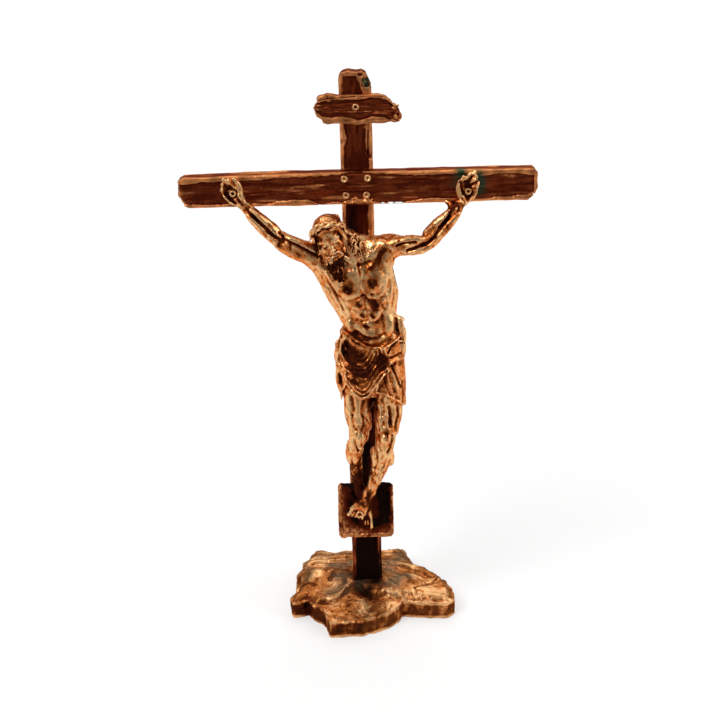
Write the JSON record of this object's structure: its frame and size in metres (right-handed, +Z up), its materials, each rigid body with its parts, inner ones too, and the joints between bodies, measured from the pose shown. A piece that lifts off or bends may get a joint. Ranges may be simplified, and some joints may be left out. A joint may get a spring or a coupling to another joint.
{
  "type": "altar cross",
  "caption": "Standing bronze altar cross: a crucifix figure nailed to a hewn two-beam cross with a title plaque and footrest, on a broad rock-shaped base.",
  "frame": {"origin": "underside of the base, in the middle of its footprint", "axes": "+Z up along the upright, the figure faces -Y, the crossbeam lies along X"},
  "size_m": [0.121, 0.0564, 0.2],
  "materials": {
    "base_bronze": "rough-cast bronze, dark in the hollows",
    "beam_bronze": "hewn and oxidised, with worn bright edges",
    "figure_bronze": "cast and burnished, dark in the folds",
    "nail_bronze": "worn bright",
    "steel": "plain, hidden"
  },
  "bodies": {
    "root": {"base_rock": "base_bronze", "base_screw": "steel", "base_washer": "steel", "upright": "beam_bronze", "crossbeam": "beam_bronze", "crossbeam_nails": "nail_bronze", "title_plaque": "beam_bronze", "title_nail": "nail_bronze", "footrest": "beam_bronze", "footrest_dowels": "steel", "corpus_body": "figure_bronze", "corpus_head": "figure_bronze", "crown_of_thorns": "figure_bronze", "loincloth": "figure_bronze", "loincloth_knot": "figure_bronze", "right_arm": "figure_bronze", "left_arm": "figure_bronze", "right_hand_nail": "nail_bronze", "left_hand_nail": "nail_bronze", "feet_nail": "nail_bronze"}
  },
  "joints": []
}
